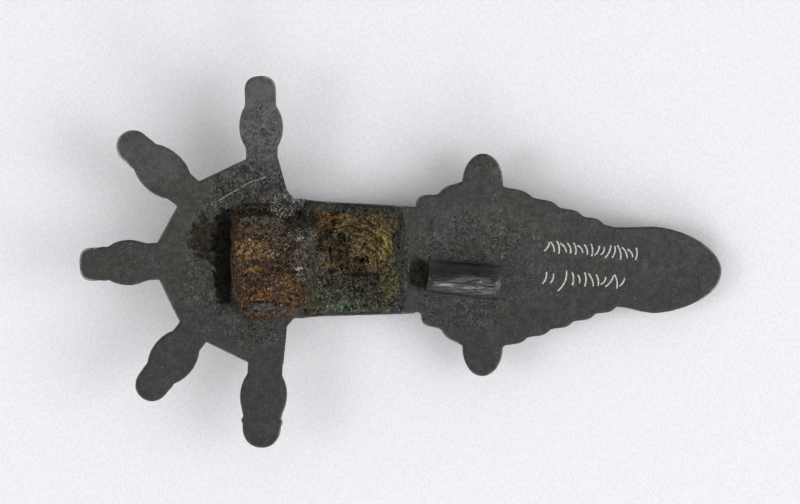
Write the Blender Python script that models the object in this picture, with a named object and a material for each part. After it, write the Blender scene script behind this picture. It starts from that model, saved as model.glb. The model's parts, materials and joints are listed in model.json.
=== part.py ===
"""A radiate-headed bow brooch, lying on its face with its flat back up, as it comes out of a drawer.

One casting carries everything: the head plate with five knobs, the arched bow, the scalloped foot
plate with two side lobes and an oval end, the two lugs of the spring and the curled catch for the
pin. The iron spring has rusted to a lump between the lugs, and a crust of rust lines the bow.

The brooch is modelled flat. Its back is the plane z = 0, its front faces down, x runs from the head
to the foot, and the origin is the middle of the bow. At the end it is leaned on the crown of the bow
and on the tip of the foot, as it rests on a table, with the origin under the middle of its box.
"""

import math

import bmesh
import bpy
import numpy as np
from mathutils import Matrix, Vector

MILLIMETRE = 0.001

# Fits between the pieces
ROOT = 1.2  # how deep a shape that grows from another is sunk into it
RUST_GAP = 0.3  # the gap that the rust keeps to the bronze

# Head plate: half an ellipse with straight sides between the knobs
HEAD_LENGTH = 17.25
HEAD_HALF_WIDTH = 14.1
HEAD_THICKNESS = 2.0
HEAD_BOW_EDGE_X = -9.1
HEAD_BOW_STEP = 1.5

# Knobs: angles are degrees anticlockwise from the foot end, seen from the back
KNOBS = {
    "upper": {"root": 103.0, "points": 91.4, "length": 11.35, "neck": 2.13, "body": 2.96, "tip": 2.1},
    "upper_outer": {"root": 145.6, "points": 139.6, "length": 12.3, "neck": 2.25, "body": 3.12, "tip": 2.23},
    "middle": {"root": 180.2, "points": 182.6, "length": 10.88, "neck": 2.5, "body": 3.1, "tip": 2.23},
    "lower_outer": {"root": 217.5, "points": 232.0, "length": 11.45, "neck": 2.25, "body": 3.06, "tip": 2.28},
    "lower": {"root": 259.0, "points": 266.6, "length": 11.6, "neck": 2.35, "body": 3.2, "tip": 2.6},
}
# How each tip ends: the length of its round cap, how blunt that is (2 is a half oval), and how proud its collar is
KNOB_TIPS = {
    "upper": {"cap": 1.9, "blunt": 2.4, "collar": 0.0},
    "upper_outer": {"cap": 2.25, "blunt": 2.0, "collar": 0.07},
    "middle": {"cap": 1.9, "blunt": 3.0, "collar": 0.08},
    "lower_outer": {"cap": 2.6, "blunt": 2.2, "collar": 0.05},
    "lower": {"cap": 2.88, "blunt": 2.2, "collar": 0.2},
}
KNOB_BODY_AT = 0.39  # share of the knob's length
KNOB_BODY_REACH = 0.365
KNOB_NOTCH_AT = 0.64
KNOB_EDGE = 0.8
KNOB_DEPTH = 3.1
KNOB_COLLAR_LENGTH = 0.6

# Bow: a broad arched band, hollow behind, with three flat ribs along its front
BOW_HALF_SPAN = 9.3
BOW_HEIGHT = 8.6
BOW_HEAD_HALF_WIDTH = 7.83
BOW_FOOT_HALF_WIDTH = 7.28
BOW_MIDDLE_BULGE = 0.15
BOW_HEAD_OFFSET = 0.3
BOW_FOOT_OFFSET = 0.1
BOW_FLARE = 0.3
BOW_THICKNESS = 1.75
BOW_EDGE_THICKNESS = 2.7
BOW_RIB_DEPTH = 0.45
BOW_EDGE_ROUND = 0.8

# Foot plate
FOOT_BEND = -1.7  # degrees that the foot turns from the line of the head and bow
FOOT_OFFSET = -0.3
FOOT_THICKNESS = 2.0
FOOT_WIDEST_AT = 9.1
FOOT_SHOULDER_HALF_WIDTH = 11.0
FOOT_TAPER_END = 27.6
FOOT_SIDES = {
    1: {"neck_at": -0.3, "neck": 7.75, "neck_shoulder": 11.3, "lobe_at": 8.72, "taper_shoulder": 10.8},
    -1: {"neck_at": 0.9, "neck": 6.9, "neck_shoulder": 11.1, "lobe_at": 9.4, "taper_shoulder": 11.0},
}
# Where each side's scallops run out, before the oval end begins
FOOT_TAPERS = {
    1: {"scallops": 4, "later": 0.89, "ends_at": 25.5, "half_width": 6.05, "end_half_width": 5.65},
    -1: {"scallops": 5, "later": 0.97, "ends_at": 27.6, "half_width": 5.15, "end_half_width": 5.15},
}
NECK_SCALLOPS = 2
NECK_SCALLOP_BULGE = 0.9
SCALLOP_BULGE = 0.38
SCALLOP_STEPS = 6

# Side lobes
LOBE_HALF_WIDTH = 2.77
LOBE_REACH = 15.2
LOBE_DEPTH = 2.9

# Oval end of the foot: an animal's head on the front
END_WIDEST_AT = 32.7
END_TIP_AT = 41.95
END_HALF_WIDTH = 5.9
END_EDGE = 1.0
END_DEPTH = 3.2
END_TUCK = 0.5
SNOUT_HALF_WIDTH = 1.5
SNOUT_DEPTH = 3.7
SNOUT_BEFORE_TIP = 2.2
SNOUT_ROUND = 0.7
EYE_RADIUS = 1.15
EYE_SPREAD = 2.7
EYE_AT = 30.6

# Raised lines on the front
LINE_WIDTH = 0.9
LINE_HEIGHT = 0.45
BORDER_INSET = 1.3
HEAD_RAYS = 7
HEAD_BOSS_RADIUS = 2.4
FOOT_CHEVRONS = 3

# Lugs of the spring
LUGS = {"upper_lug": {"side": 5.5, "length": 5.4}, "lower_lug": {"side": -6.2, "length": 3.4}}
LUG_WIDTH = 1.0
LUG_HEIGHT = 4.3
LUG_FROM_BOW_END = 3.3

# Catch for the pin: a strip that stands on the foot and curls over
CATCH_START = 0.95
CATCH_LENGTH = 10.1
CATCH_TURN = -5.2
CATCH_SIDE = -3.85
CATCH_WIDTH = 4.5
CATCH_HEIGHT = 4.4
CATCH_SHEET = 0.85
CATCH_LIP = 1.3

# Rusted spring
SPRING_LENGTH = 9.7
SPRING_HALF_WIDTH = 7.75
SPRING_OFFSET = -0.1
SPRING_HEIGHT = 4.2
SPRING_PAST_BOW_END = 2.2
SPRING_UNEVEN = 0.15
SPRING_BROKEN_CORNER = 1.52  # 2 leaves the corner whole, 1 cuts it from the middle of each side

# Crust inside the bow
CRUST_THICKNESS = 1.1
CRUST_LUMP = 0.35
CRUST_SIDE_MARGIN = 0.7
CRUST_FROM = 5.0  # degrees round the arch
CRUST_TO = 166.0

COLOURS = {
    "bronze": ((0.055, 0.058, 0.055, 1.0), 0.55, 0.6),
    "spring_rust": ((0.075, 0.045, 0.028, 1.0), 0.9, 0.0),
    "bow_rust": ((0.085, 0.06, 0.027, 1.0), 0.9, 0.0),
}


def clear_scene():
    for old in list(bpy.data.objects):
        bpy.data.objects.remove(old, do_unlink=True)


def make_material(name):
    colour, roughness, metallic = COLOURS[name]
    material = bpy.data.materials.new(name)
    material.use_nodes = True
    shader = material.node_tree.nodes["Principled BSDF"]
    shader.inputs["Base Color"].default_value = colour
    shader.inputs["Roughness"].default_value = roughness
    shader.inputs["Metallic"].default_value = metallic
    material.diffuse_color = colour
    return material


def make_object(name, mesh_edit):
    """An object whose mesh is the bmesh given, with its faces pointing out."""
    bmesh.ops.recalc_face_normals(mesh_edit, faces=mesh_edit.faces)
    mesh = bpy.data.meshes.new(name)
    mesh_edit.to_mesh(mesh)
    mesh_edit.free()
    made = bpy.data.objects.new(name, mesh)
    bpy.context.scene.collection.objects.link(made)
    return made


def prism(name, outline, low, high, place=Matrix.Identity(4)):
    """A flat outline given thickness between two heights."""
    edit = bmesh.new()
    floor = edit.faces.new([edit.verts.new((x, y, low)) for x, y in outline])
    raised = bmesh.ops.extrude_face_region(edit, geom=[floor])["geom"]
    corners = [item for item in raised if isinstance(item, bmesh.types.BMVert)]
    bmesh.ops.translate(edit, verts=corners, vec=(0, 0, high - low))
    bmesh.ops.transform(edit, matrix=place, verts=edit.verts)
    return make_object(name, edit)


def loft(name, rings, place=Matrix.Identity(4)):
    """A solid skinned over closed rings of points, with its two ends filled."""
    edit = bmesh.new()
    loops = [[edit.verts.new(point) for point in ring] for ring in rings]
    for first, second in zip(loops, loops[1:]):
        count = len(first)
        for i in range(count):
            j = (i + 1) % count
            edit.faces.new((first[i], first[j], second[j], second[i]))
    edit.faces.new(loops[0])
    edit.faces.new(loops[-1])
    bmesh.ops.transform(edit, matrix=place, verts=edit.verts)
    return make_object(name, edit)


def combine(base, others, operation):
    """Applies one exact Boolean with all the other shapes at once, and removes them."""
    tools = bpy.data.collections.new(operation)
    bpy.context.scene.collection.children.link(tools)
    for other in others:
        bpy.context.scene.collection.objects.unlink(other)
        tools.objects.link(other)
    modifier = base.modifiers.new(operation, "BOOLEAN")
    modifier.operation = operation
    modifier.solver = "EXACT"
    modifier.operand_type = "COLLECTION"
    modifier.collection = tools
    graph = bpy.context.evaluated_depsgraph_get()
    joined = bpy.data.meshes.new_from_object(base.evaluated_get(graph))
    base.modifiers.clear()
    base.data = joined
    for other in others:
        bpy.data.objects.remove(other, do_unlink=True)
    bpy.data.collections.remove(tools)
    return base


def rotated(angle_degrees):
    angle = math.radians(angle_degrees)
    return Vector((math.cos(angle), math.sin(angle)))


def knob_root(knob):
    """The middle of the knob's root on the rim of the head plate."""
    way = rotated(knob["root"])
    radius = 1 / math.hypot(way.x / HEAD_LENGTH, way.y / HEAD_HALF_WIDTH)
    return Vector((-BOW_HALF_SPAN, 0)) + way * radius


def knob_half_width(along, knob, tip):
    """Half the knob's width: a straight neck, an oval body, a collar and a blunt tip, whichever is widest."""
    length = knob["length"]
    body_at = KNOB_BODY_AT * length
    notch_at = KNOB_NOTCH_AT * length
    widths = []
    if along < body_at:
        widths.append(knob["neck"])
    from_body = (along - body_at) / (KNOB_BODY_REACH * length)
    if abs(from_body) < 1:
        widths.append(knob["body"] * math.sqrt(1 - from_body**2))
    if along >= notch_at:
        share = min(max((along - length) / tip["cap"] + 1, 0), 1)
        widths.append(knob["tip"] * (1 - share ** tip["blunt"]) ** (1 / tip["blunt"]))
    if abs(along - notch_at - KNOB_COLLAR_LENGTH) < KNOB_COLLAR_LENGTH / 2:
        widths.append(knob["tip"] + tip["collar"])
    return max(widths)


def domed_section(half_width, edge, depth, steps=8):
    """A section across a domed lobe with a flat back: (side, height) pairs."""
    section = [(-half_width, 0), (-half_width, -edge)]
    for step in range(1, steps):
        angle = math.pi * step / steps
        section.append((-half_width * math.cos(angle), -edge - (depth - edge) * math.sin(angle)))
    return section + [(half_width, -edge), (half_width, 0)]


def domed_lobe(name, stations, half_width_at, edge, depth, widest, origin, way):
    """A lobe that grows from origin along way, with a flat back and a domed front."""
    side = Vector((-way.y, way.x))
    rings = []
    for along in stations:
        half_width = half_width_at(along)
        reach = edge + (depth - edge) * half_width / widest
        centre = origin + way * along
        rings.append(
            [
                (centre.x + side.x * across, centre.y + side.y * across, height)
                for across, height in domed_section(half_width, edge, reach)
            ]
        )
    return loft(name, rings)


def make_knob(name, knob):
    tip = KNOB_TIPS[name]
    length = knob["length"]
    notch_at = KNOB_NOTCH_AT * length
    collar_at = notch_at + KNOB_COLLAR_LENGTH
    before = [ROOT * (-1 + share) for share in (0, 1)] + [notch_at * i / 9 for i in range(1, 10)]
    collar = [collar_at + KNOB_COLLAR_LENGTH * share for share in (-0.51, -0.45, 0.45, 0.51)]
    round_end = [length + tip["cap"] * (math.sin(math.pi / 2 * i / 7) - 1) for i in range(7)]
    round_end.append(length - tip["cap"] * 0.004)
    stations = before + collar + round_end
    return domed_lobe(
        name,
        stations,
        lambda along: knob_half_width(along, knob, tip),
        KNOB_EDGE,
        KNOB_DEPTH,
        knob["body"],
        knob_root(knob),
        rotated(knob["points"]),
    )


def head_outline():
    """Corners of the head plate: two at each knob, straight between, and the step in to the bow."""
    corners = [
        (HEAD_BOW_EDGE_X + ROOT, BOW_HEAD_OFFSET + BOW_HEAD_HALF_WIDTH),
        (HEAD_BOW_EDGE_X, BOW_HEAD_OFFSET + BOW_HEAD_HALF_WIDTH + HEAD_BOW_STEP),
    ]
    for knob in KNOBS.values():
        root = knob_root(knob)
        way = rotated(knob["points"])
        side = Vector((-way.y, way.x)) * (knob["neck"] + 0.1)
        corners += [tuple(root - side), tuple(root + side)]
    corners += [(x, 2 * BOW_HEAD_OFFSET - y) for x, y in corners[1::-1]]
    return corners


def line_between(name, start, end, top, width=LINE_WIDTH, height=LINE_HEIGHT):
    """A raised line on the front, with sloping sides, from start to end. top is the surface it stands on."""
    along = (end - start).normalized()
    side = Vector((-along.y, along.x)) * width / 2
    rings = []
    for point in (start, end):
        corners = [(-1, top + height), (-1, top), (-0.45, top - height), (0.45, top - height), (1, top), (1, top + height)]
        rings.append([(point.x + side.x * s, point.y + side.y * s, z) for s, z in corners])
    return loft(name, rings)


def inset_corners(corners, inset):
    """A convex outline moved inwards by inset. Corners run anticlockwise."""
    count = len(corners)
    moved = []
    for i in range(count):
        before, here, after = (Vector(corners[(i + k) % count]) for k in (-1, 0, 1))
        first = (here - before).normalized()
        second = (after - here).normalized()
        normals = Vector((-first.y, first.x)), Vector((-second.y, second.x))
        bisector = (normals[0] + normals[1]).normalized()
        moved.append(here + bisector * inset / bisector.dot(normals[0]))
    return moved


def head_ornament():
    """A border inside the rim and rays round a boss, on the front of the head plate."""
    surface = -HEAD_THICKNESS
    rim = [knob_root(knob) for knob in KNOBS.values()]
    frame = inset_corners(rim, BORDER_INSET)
    frame[0].x = frame[-1].x = -BOW_HALF_SPAN - BORDER_INSET
    lines = [
        line_between("head_border", start, end, surface) for start, end in zip(frame, frame[1:])
    ]
    centre = Vector((-BOW_HALF_SPAN - BORDER_INSET, 0))
    for i in range(HEAD_RAYS):
        way = rotated(90 + 180 * (i + 0.5) / HEAD_RAYS)
        reach = 1 / math.hypot(way.x / HEAD_LENGTH, way.y / HEAD_HALF_WIDTH)
        start = centre + way * HEAD_BOSS_RADIUS * 0.6
        end = centre + way * (reach - BORDER_INSET - 2 * LINE_WIDTH)
        lines.append(line_between("head_ray", start, end, surface))
    boss = []
    for height, share in ((LINE_HEIGHT, 1), (0, 1), (-LINE_HEIGHT, 0.7), (-1.6 * LINE_HEIGHT, 0.3)):
        boss.append(
            [
                (
                    centre.x + HEAD_BOSS_RADIUS * share * math.cos(math.pi * (0.5 + i / 10)),
                    HEAD_BOSS_RADIUS * share * math.sin(math.pi * (0.5 + i / 10)),
                    surface + height,
                )
                for i in range(11)
            ]
        )
    return lines + [loft("head_boss", boss)]


def bow_frame(turn):
    """The outer line of the bow at an angle round the arch: (x, z, outward x, outward z)."""
    x = -BOW_HALF_SPAN * math.cos(turn)
    z = -BOW_HEIGHT * math.sin(turn)
    out_x = -math.cos(turn) / BOW_HALF_SPAN
    out_z = -math.sin(turn) / BOW_HEIGHT
    size = math.hypot(out_x, out_z)
    return x, z, out_x / size, out_z / size


def bow_width(turn):
    """Half the bow's width and the side offset of its middle, at an angle round the arch."""
    share = (1 - math.cos(turn)) / 2
    half = BOW_HEAD_HALF_WIDTH + (BOW_FOOT_HALF_WIDTH - BOW_HEAD_HALF_WIDTH) * share
    half += BOW_MIDDLE_BULGE * math.sin(turn) + BOW_FLARE * (1 - share) ** 8
    return half, BOW_HEAD_OFFSET + (BOW_FOOT_OFFSET - BOW_HEAD_OFFSET) * share


def bow_wall(share_across):
    """The bow's thickness, thinner along its middle, where the back is hollowed."""
    return BOW_THICKNESS + (BOW_EDGE_THICKNESS - BOW_THICKNESS) * share_across**2


def make_bow():
    ribs = ((0.86, 0), (0.68, 0), (0.62, 1), (0.28, 1), (0.2, 0))
    front = [(-share, level) for share, level in ribs] + [(share, level) for share, level in reversed(ribs)]
    turns = [math.pi * i / 26 for i in range(27)]
    rings = []
    for turn in turns:
        x, z, out_x, out_z = bow_frame(turn)
        half, offset = bow_width(turn)
        ring = [(-1, BOW_EDGE_ROUND)] + [(s, level * BOW_RIB_DEPTH) for s, level in front]
        ring += [(1, BOW_EDGE_ROUND)]
        ring += [(share, bow_wall(share)) for share in (1, 0.75, 0.5, 0.25, 0, -0.25, -0.5, -0.75, -1)]
        rings.append([(x - out_x * sunk, offset + half * s, z - out_z * sunk) for s, sunk in ring])
    return loft("bow", rings)


def foot_place():
    """Where the foot plate's own frame lies: its x runs down the middle of the foot from the bow."""
    shift = Matrix.Translation((BOW_HALF_SPAN - 0.5, FOOT_OFFSET, 0))
    return shift @ Matrix.Rotation(math.radians(FOOT_BEND), 4, "Z")


def scallops(start, end, bulges, later=1.0):
    """Points of an edge with one scallop for each bulge. Each is fullest towards its far end, and later times
    as long as the one before."""
    points = []
    sizes = [later**n for n in range(len(bulges))]
    edge = end - start
    out = Vector((-edge.y, edge.x)).normalized()
    for n, bulge in enumerate(bulges):
        first = sum(sizes[:n]) / sum(sizes)
        for i in range(SCALLOP_STEPS):
            share = i / SCALLOP_STEPS
            rise = bulge * math.sin(math.pi * share**1.6)
            points.append(start + edge * (first + share * sizes[n] / sum(sizes)) + out * rise)
    return points


def foot_edge(side):
    """One scalloped side of the foot plate, from the bow to the oval end, as if it were the upper one."""
    sizes = FOOT_SIDES[side]
    taper = FOOT_TAPERS[side]
    before_lobe = Vector((sizes["lobe_at"] - LOBE_HALF_WIDTH, sizes["neck_shoulder"]))
    after_lobe = Vector((sizes["lobe_at"] + LOBE_HALF_WIDTH, sizes["taper_shoulder"]))
    neck = Vector((sizes["neck_at"], sizes["neck"]))
    taper_end = Vector((taper["ends_at"], taper["half_width"]))
    # The neck side is drawn from the lobe back to the bow, turned over so that it bulges outwards.
    bulges = [SCALLOP_BULGE] * (NECK_SCALLOPS - 1) + [NECK_SCALLOP_BULGE]
    back = [flipped(point) for point in scallops(flipped(before_lobe), flipped(neck), bulges)]
    front = scallops(after_lobe, taper_end, [SCALLOP_BULGE] * taper["scallops"], taper["later"])
    root = Vector((-ROOT, BOW_FOOT_HALF_WIDTH - ROOT))
    closing = Vector((FOOT_TAPER_END + ROOT, taper["end_half_width"] - END_TUCK))
    return [root, neck] + back[::-1] + front + [taper_end, closing]


def foot_outline():
    """The scalloped outline of the foot plate, upper side first, without its lobes and oval end."""
    upper = [(point.x, point.y) for point in foot_edge(1)]
    lower = [(point.x, -point.y) for point in foot_edge(-1)]
    return upper + lower[::-1]


def flipped(point):
    return Vector((-point.x, point.y))


def lobe_half_width(along):
    """Half the width of a side lobe: straight, then round."""
    straight = FOOT_SHOULDER_HALF_WIDTH
    share = max(along - straight, 0) / (LOBE_REACH - straight)
    return LOBE_HALF_WIDTH * math.sqrt(max(1 - share**2.2, 0))


def make_lobes():
    lobes = []
    for side in (1, -1):
        start = FOOT_SHOULDER_HALF_WIDTH - 2 * ROOT
        round_part = LOBE_REACH - FOOT_SHOULDER_HALF_WIDTH
        stations = [start, FOOT_SHOULDER_HALF_WIDTH]
        stations += [FOOT_SHOULDER_HALF_WIDTH + round_part * math.sin(math.pi / 2 * i / 9) for i in range(1, 9)]
        stations.append(FOOT_SHOULDER_HALF_WIDTH + round_part * 0.996)
        lobe = domed_lobe(
            "lobe",
            stations,
            lobe_half_width,
            KNOB_EDGE,
            LOBE_DEPTH,
            LOBE_HALF_WIDTH,
            Vector((FOOT_SIDES[side]["lobe_at"], 0)),
            Vector((0, side)),
        )
        lobe.data.transform(foot_place())
        lobes.append(lobe)
    return lobes


def end_half_width(along, side):
    """Half the width of the oval end, on one side."""
    if along < END_WIDEST_AT:
        start = FOOT_TAPERS[side]["end_half_width"]
        share = max((along - FOOT_TAPER_END) / (END_WIDEST_AT - FOOT_TAPER_END), 0)
        ease = share * share * (3 - 2 * share)
        return start + (END_HALF_WIDTH - start) * ease
    share = (along - END_WIDEST_AT) / (END_TIP_AT - END_WIDEST_AT)
    return END_HALF_WIDTH * math.sqrt(1 - min(share, 1) ** 1.6)


def make_end():
    """The oval end: an animal's head in low relief, with a snout and two eyes."""
    start = FOOT_TAPER_END - ROOT
    stations = [start + (END_WIDEST_AT - start) * i / 6 for i in range(6)]
    round_part = END_TIP_AT - END_WIDEST_AT
    stations += [END_WIDEST_AT + round_part * math.sin(math.pi / 2 * i / 12) for i in range(12)]
    stations.append(END_WIDEST_AT + round_part * 0.997)
    rings = []
    for along in stations:
        halves = {side: end_half_width(along, side) for side in (1, -1)}
        reach = END_EDGE + (END_DEPTH - END_EDGE) * halves[-1] / END_HALF_WIDTH
        rings.append([(along, s * halves[1 if s > 0 else -1], z) for s, z in domed_section(1, END_EDGE, reach)])
    head = loft("oval_end", rings, foot_place())
    snout_end = END_TIP_AT - SNOUT_BEFORE_TIP
    snout = []
    for along, wide, deep in (
        (EYE_AT - EYE_RADIUS, 0.35, 0.75),
        (END_WIDEST_AT, 0.55, 0.92),
        (END_WIDEST_AT + round_part * 0.4, 1.0, 1.0),
        (snout_end, 0.9, 0.9),
        (snout_end + SNOUT_ROUND, 0.5, 0.55),
    ):
        section = [(-1, 0.2), (-1, 0.7), (-0.6, 1), (0.6, 1), (1, 0.7), (1, 0.2)]
        snout.append([(along, s * wide * SNOUT_HALF_WIDTH, -z * deep * SNOUT_DEPTH) for s, z in section])
    pieces = [head, loft("snout", snout, foot_place())]
    for side in (1, -1):
        edit = bmesh.new()
        bmesh.ops.create_icosphere(edit, subdivisions=2, radius=EYE_RADIUS)
        place = foot_place() @ Matrix.Translation((EYE_AT, side * EYE_SPREAD, -END_DEPTH * 0.72))
        bmesh.ops.transform(edit, matrix=place, verts=edit.verts)
        pieces.append(make_object("eye", edit))
    return pieces


def foot_ornament():
    """A lozenge border, a rib along the middle and chevrons, on the front of the foot plate."""
    surface = -FOOT_THICKNESS
    corners = [
        (2 * ROOT, BOW_FOOT_HALF_WIDTH),
        (2 * ROOT, -BOW_FOOT_HALF_WIDTH),
        (FOOT_WIDEST_AT, -FOOT_SHOULDER_HALF_WIDTH),
        (FOOT_TAPER_END, -FOOT_TAPERS[-1]["end_half_width"]),
        (FOOT_TAPER_END, FOOT_TAPERS[-1]["end_half_width"]),
        (FOOT_WIDEST_AT, FOOT_SHOULDER_HALF_WIDTH),
    ]
    frame = inset_corners(corners, BORDER_INSET)
    lines = [
        line_between("foot_border", start, end, surface)
        for start, end in zip(frame, frame[1:] + frame[:1])
    ]
    rib_start = Vector((2 * ROOT, 0))
    rib_end = Vector((FOOT_TAPER_END, 0))
    lines.append(line_between("foot_rib", rib_start, rib_end, surface, 2 * LINE_WIDTH))
    pitch = (FOOT_TAPER_END - FOOT_WIDEST_AT) / (FOOT_CHEVRONS + 1)
    for n in range(FOOT_CHEVRONS):
        tip = Vector((FOOT_WIDEST_AT + pitch * (n + 1.1), 0))
        wide = (FOOT_SHOULDER_HALF_WIDTH - 2.6 * BORDER_INSET) * (1 - (n + 1) / (FOOT_CHEVRONS + 2))
        for side in (1, -1):
            barb = Vector((tip.x - wide * 0.7, side * wide))
            lines.append(line_between("chevron", tip, barb, surface))
    for line in lines:
        line.data.transform(foot_place())
    return lines


def make_lug(name, lug):
    """One of the two upright plates that held the axle of the spring."""
    middle = -BOW_HALF_SPAN - LUG_FROM_BOW_END
    half = lug["length"] / 2
    outline = [(middle - half * 1.15, -ROOT), (middle + half * 1.15, -ROOT)]
    for i in range(7):
        angle = math.pi * i / 6
        shoulder = LUG_HEIGHT - half * 0.45
        outline.append((middle + half * math.cos(angle), shoulder + half * 0.45 * math.sin(angle)))
    rings = [
        [(x, lug["side"] + LUG_WIDTH * share, z) for x, z in outline] for share in (-0.5, 0.5)
    ]
    return loft(name, rings)


def catch_section():
    """The strip's section: up from the foot, over in a half round, and down to the lip. (side, height)"""
    radius = CATCH_WIDTH / 2
    centre_height = CATCH_HEIGHT - radius
    lip_height = CATCH_LIP
    small = radius - CATCH_SHEET
    outer = [(0, -ROOT), (0, centre_height)]
    inner = [(CATCH_SHEET, -ROOT), (CATCH_SHEET, centre_height)]
    for i in range(1, 11):
        angle = math.pi * i / 10
        outer.append((radius - radius * math.cos(angle), centre_height + radius * math.sin(angle)))
        inner.append((radius - small * math.cos(angle), centre_height + small * math.sin(angle)))
    outer.append((CATCH_WIDTH, lip_height))
    inner.append((CATCH_WIDTH - CATCH_SHEET * 0.8, lip_height))
    return outer + inner[::-1]


def make_catch():
    rings = []
    for share, droop in ((0, 0.94), (0.08, 1), (0.5, 1), (0.92, 0.98), (1, 0.93)):
        x = CATCH_LENGTH * share
        wide = 0.97 + 0.08 * share
        section = catch_section()
        rings.append([(x, side * wide, max(height, 0) * droop + min(height, 0)) for side, height in section])
    turn = Matrix.Rotation(math.radians(CATCH_TURN), 4, "Z")
    shift = Matrix.Translation((CATCH_START, CATCH_SIDE, 0))
    return loft("catch", rings, foot_place() @ shift @ turn)


def make_body():
    """The casting: plates, knobs, bow and ornament, and the lugs and the catch on its flat back."""
    head = prism("brooch_body", head_outline(), -HEAD_THICKNESS, 0)
    foot = prism("foot_plate", foot_outline(), -FOOT_THICKNESS, 0, foot_place())
    knobs = [make_knob(name, knob) for name, knob in KNOBS.items()]
    shapes = [make_bow(), foot] + knobs + make_lobes() + make_end()
    fittings = [make_lug(name, lug) for name, lug in LUGS.items()] + [make_catch()]
    body = combine(head, shapes + head_ornament() + foot_ornament() + fittings, "UNION")
    body.data.materials.clear()
    body.data.materials.append(make_material("bronze"))
    return body


def wavy(angle, seed):
    """A slow, seeded waver between -1 and 1, for the edge and the top of rust."""
    return (math.sin(3 * angle + seed) + 0.6 * math.sin(7 * angle + 2.1 * seed)) / 1.6


def spring_outline(count=40):
    """A rounded oblong whose lower corner on the head side has broken away: (x, y) shares of its half sizes."""
    points = []
    for i in range(count):
        angle = 2 * math.pi * i / count
        x = math.copysign(abs(math.cos(angle)) ** 0.4, math.cos(angle))
        y = math.copysign(abs(math.sin(angle)) ** 0.4, math.sin(angle))
        beyond = max(-x - y - SPRING_BROKEN_CORNER, 0) / 2
        points.append((x + beyond, y + beyond))
    return points


def make_spring_remains():
    """The rusted spring: a lump between and round the lugs, with a pocket for each lug."""
    middle = -BOW_HALF_SPAN + SPRING_PAST_BOW_END - SPRING_LENGTH / 2
    rings = []
    for height, shrink in ((0, 0.98), (0.25, 1.0), (0.6, 0.99), (0.82, 0.95), (0.95, 0.84), (1.0, 0.6)):
        ring = []
        for x, y in spring_outline():
            angle = math.atan2(y, x)
            swell = shrink * (1 + 0.02 * wavy(angle, 1.7 + height))
            lift = RUST_GAP + (SPRING_HEIGHT - RUST_GAP) * height
            if height > 0.7:
                lift += SPRING_UNEVEN * wavy(angle, 4 + 3 * height)
            across = SPRING_OFFSET + y * SPRING_HALF_WIDTH * swell
            ring.append((middle + x * SPRING_LENGTH / 2 * swell, across, lift))
        rings.append(ring)
    lump = loft("spring_remains", rings)
    pockets = []
    for lug in LUGS.values():
        lug_middle = -BOW_HALF_SPAN - LUG_FROM_BOW_END
        half = lug["length"] / 2 * 1.15 + RUST_GAP
        wide = LUG_WIDTH / 2 + RUST_GAP
        corners = [
            (lug_middle - half, lug["side"] - wide),
            (lug_middle + half, lug["side"] - wide),
            (lug_middle + half, lug["side"] + wide),
            (lug_middle - half, lug["side"] + wide),
        ]
        pockets.append(prism("pocket", corners, -RUST_GAP, SPRING_HEIGHT + LUG_HEIGHT))
    combine(lump, pockets, "DIFFERENCE")
    lump.data.materials.clear()
    lump.data.materials.append(make_material("spring_rust"))
    return lump


def make_bow_crust():
    """The crust in the hollow of the bow: it follows the inside of the arch."""
    steps, across = 22, 9
    rings = []
    for i in range(steps + 1):
        turn = math.radians(CRUST_FROM + (CRUST_TO - CRUST_FROM) * i / steps)
        x, z, out_x, out_z = bow_frame(turn)
        half, offset = bow_width(turn)
        side = half - CRUST_SIDE_MARGIN
        shares = [-1 + 2 * k / (across - 1) for k in range(across)]
        end_taper = math.sin(math.pi * min(max(i / steps, 0.06), 0.94)) ** 0.5
        ring = []
        for share in shares:
            sunk = bow_wall(share * side / half) + RUST_GAP
            ring.append((x - out_x * sunk, offset + side * share, z - out_z * sunk))
        for share in reversed(shares):
            lump = CRUST_LUMP * wavy(2.2 * turn + 2.5 * share, 0.8 + 2 * share)
            side_taper = math.sqrt(1 - 0.85 * share * share)
            thick = (CRUST_THICKNESS + lump) * end_taper * side_taper
            sunk = bow_wall(share * side / half) + RUST_GAP + thick
            ring.append((x - out_x * sunk, offset + side * share, z - out_z * sunk))
        rings.append(ring)
    crust = loft("bow_crust", rings)
    crust.data.materials.append(make_material("bow_rust"))
    return crust


def triangles_of(made):
    mesh = made.data
    mesh.calc_loop_triangles()
    points = np.array([vertex.co[:] for vertex in mesh.vertices])
    return points[np.array([triangle.vertices[:] for triangle in mesh.loop_triangles])]


def centre_of_mass(made):
    """The centre of the solid, from the signed volumes of its triangles."""
    corners = triangles_of(made)
    volumes = np.einsum("ij,ij->i", corners[:, 0], np.cross(corners[:, 1], corners[:, 2])) / 6
    return (corners.sum(axis=1) / 4 * volumes[:, None]).sum(axis=0) / volumes.sum()


def resting_lean(body):
    """The angle to turn the brooch about y so that it lies on the two lowest lines on each side of its weight."""
    points = triangles_of(body).reshape(-1, 3)[:, [0, 2]]
    points = points[np.lexsort((points[:, 1], points[:, 0]))]
    hull = []
    for point in points:
        while len(hull) > 1:
            (ax, az), (bx, bz) = hull[-2], hull[-1]
            if (bx - ax) * (point[1] - az) - (bz - az) * (point[0] - ax) > 0:
                break
            hull.pop()
        hull.append(point)
    weight_x = centre_of_mass(body)[0]
    for (ax, az), (bx, bz) in zip(hull, hull[1:]):
        if ax <= weight_x <= bx:
            return math.atan2(bz - az, bx - ax)
    return 0.0


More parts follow.
